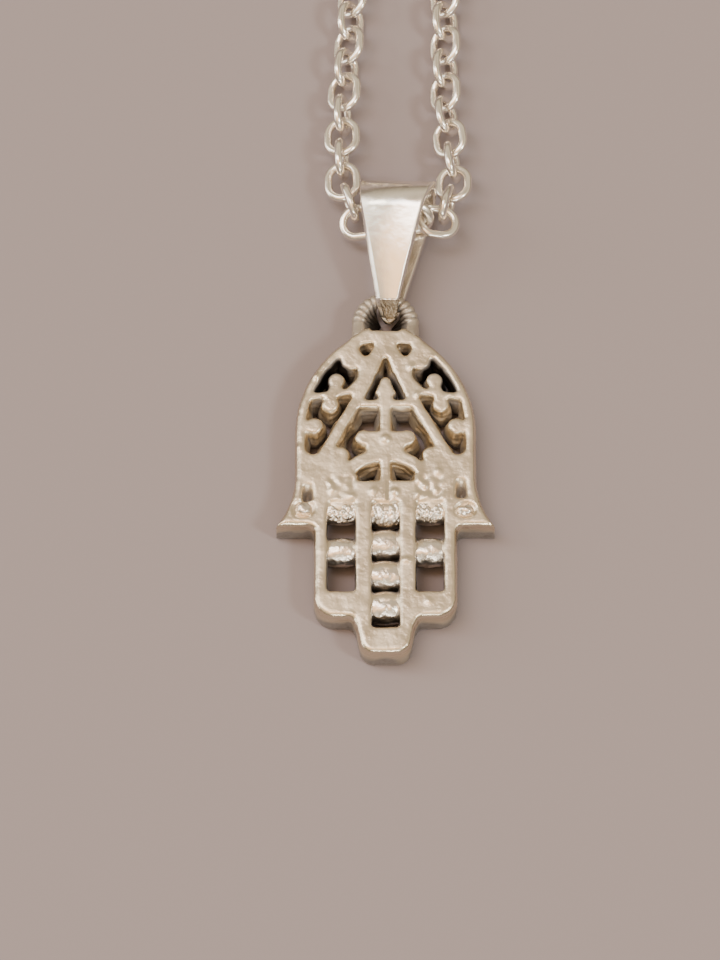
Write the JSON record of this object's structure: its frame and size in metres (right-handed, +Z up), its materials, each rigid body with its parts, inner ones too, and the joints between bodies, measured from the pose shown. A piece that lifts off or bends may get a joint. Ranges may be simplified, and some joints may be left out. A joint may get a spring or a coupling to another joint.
{
  "type": "hamsa pendant",
  "caption": "Pierced silver hand pendant lying flat, with beaded finger slots, a cast rope ring, a folded bail and its whole cable chain spread round a neck's opening",
  "frame": {"origin": "On the back of the hand, in the plain band between the pierced arch and the finger slots, midway across", "axes": "+Z up, away from the surface it lies on and out of the hand's face; +Y along the hand from the fingers to the ring and on to the clasp; +X to the right, seen with the fingers downwards"},
  "size_m": [0.1036, 0.1823, 0.0046],
  "materials": {
    "cast_silver": "matt cast silver, darkened in the recesses",
    "polished_silver": "polished silver"
  },
  "bodies": {
    "root": {"hand": "cast_silver", "bail": "polished_silver", "chain_left": "polished_silver", "chain_right": "polished_silver", "clasp": "polished_silver", "end_ring": "polished_silver"}
  },
  "joints": []
}
